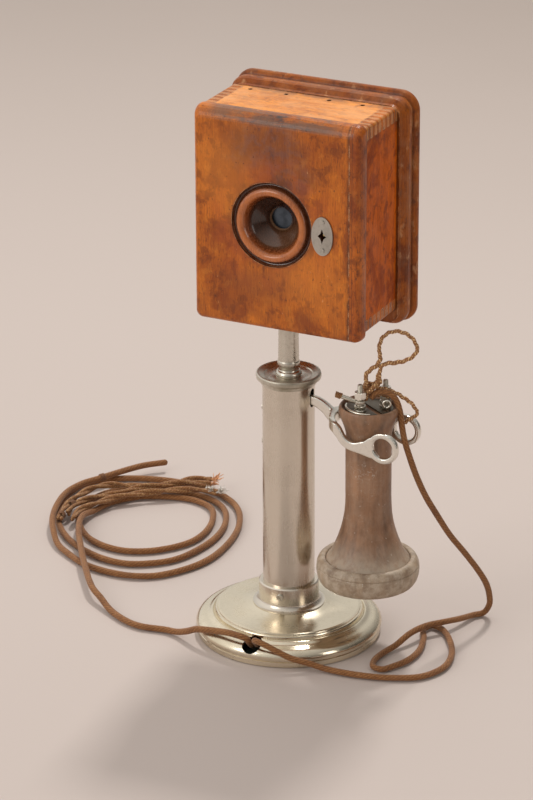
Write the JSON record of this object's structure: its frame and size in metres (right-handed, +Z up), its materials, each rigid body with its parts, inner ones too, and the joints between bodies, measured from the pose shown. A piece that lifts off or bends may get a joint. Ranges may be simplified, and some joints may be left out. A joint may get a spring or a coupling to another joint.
{
  "type": "telephone",
  "caption": "Antique desk telephone: nickel column stand, hinged wooden transmitter box, hard rubber hand receiver on a forked hook, braided cords.",
  "frame": {"origin": "centre of the round base where it rests on the table", "axes": "+Z up along the column, -Y towards the door with the mouthpiece, +X towards the receiver hook"},
  "size_m": [0.4143, 0.2936, 0.4153],
  "materials": {
    "nickel": "worn nickel plate, satin",
    "oiled_wood": "oiled and varnished, worn at the edges",
    "turned_wood": "turned, dark varnish",
    "hard_rubber": "faded vulcanised rubber",
    "brass": "dull",
    "cast_iron": "black japan",
    "steel": "bright",
    "diaphragm_iron": "dark varnish",
    "silk_wire": "silk covered wire",
    "felt": "felt",
    "braid": "braided worsted",
    "soft_rubber": "matt",
    "carbon": "pressed carbon"
  },
  "bodies": {
    "root": {"base_shell": "nickel", "base_ballast": "cast_iron", "base_felt": "felt", "column_tube": "nickel", "column_collar": "nickel", "collar_screw": "nickel", "column_cap": "nickel", "stem": "nickel", "stem_nut": "brass", "hook_bracket": "brass", "hook_pin": "steel", "hook_spring": "steel", "switch_block": "hard_rubber", "fixed_contact_spring": "brass", "switch_screws": "nickel", "inner_leads": "silk_wire", "box_top": "oiled_wood", "box_bottom": "oiled_wood", "box_side_left": "oiled_wood", "box_side_right": "oiled_wood", "back_board": "oiled_wood", "back_board_screws": "brass", "box_hinge_leaves": "brass", "hinge_pins": "steel", "induction_spool": "turned_wood", "induction_winding": "silk_wire", "induction_core": "cast_iron", "terminal_screws": "brass", "receiver_cord_table": "braid", "line_cord": "braid"},
    "hook": {"hook_lever": "nickel"},
    "contact": {"moving_contact_spring": "brass"},
    "door": {"door_panel": "oiled_wood", "door_cleat": "oiled_wood", "mouthpiece": "turned_wood", "escutcheon": "nickel", "escutcheon_screws": "nickel", "lock_case": "brass", "door_hinge_leaves": "brass", "transmitter_ring": "cast_iron", "ring_screws": "brass", "diaphragm": "diaphragm_iron", "diaphragm_gasket": "soft_rubber"},
    "lock": {"lock_bolt": "brass"},
    "lever": {"adjusting_lever": "cast_iron", "platinum_spring": "brass", "carbon_button": "carbon", "carbon_holder": "brass"},
    "screw": {"adjusting_screw": "brass"},
    "receiver": {"receiver_shell": "hard_rubber", "ear_cap": "hard_rubber", "receiver_diaphragm": "diaphragm_iron", "bar_magnet": "steel", "receiver_bobbin": "turned_wood", "receiver_winding": "silk_wire", "terminal_plate": "nickel", "binding_posts": "nickel", "binding_nuts": "nickel", "cord_eye": "nickel", "receiver_cord_drop": "braid"}
  },
  "joints": [
    {"name": "receiver_lift", "type": "slide", "parent": "root", "child": "receiver", "axis": [0.7071, 0, 0.7071], "range_m": [0, 0.1]},
    {"name": "hook_pivot", "type": "hinge", "parent": "root", "child": "hook", "pos_m": [0.008, 0, 0.1895], "axis": [0, -1, 0], "range_deg": [0, 12.05]},
    {"name": "contact_flex", "type": "hinge", "parent": "root", "child": "contact", "pos_m": [0.011, 0, 0.158], "axis": [0, 1, 0], "range_deg": [0, 3.6]},
    {"name": "door_hinge", "type": "hinge", "parent": "root", "child": "door", "pos_m": [-0.0676, -0.01015, 0.331], "axis": [0, 0, -1], "range_deg": [0, 110]},
    {"name": "lock_slide", "type": "slide", "parent": "door", "child": "lock", "axis": [1, 0, 0], "range_m": [0, 0.0045]},
    {"name": "adjust_travel", "type": "slide", "parent": "door", "child": "screw", "axis": [0, -1, 0], "range_m": [-0.0005, 0.0005]},
    {"name": "lever_tilt", "type": "hinge", "parent": "door", "child": "lever", "pos_m": [-0.0035, 0.016, 0.3685], "axis": [-1, 0, 0], "range_deg": [-0.5, 0.5]}
  ],
  "couplings": [
    {"joint": "hook_pivot", "follows": "receiver_lift", "rad_per_m": 2.09},
    {"joint": "contact_flex", "follows": "receiver_lift", "rad_per_m": 0.62},
    {"joint": "lever_tilt", "follows": "adjust_travel", "rad_per_m": 13.1}
  ]
}
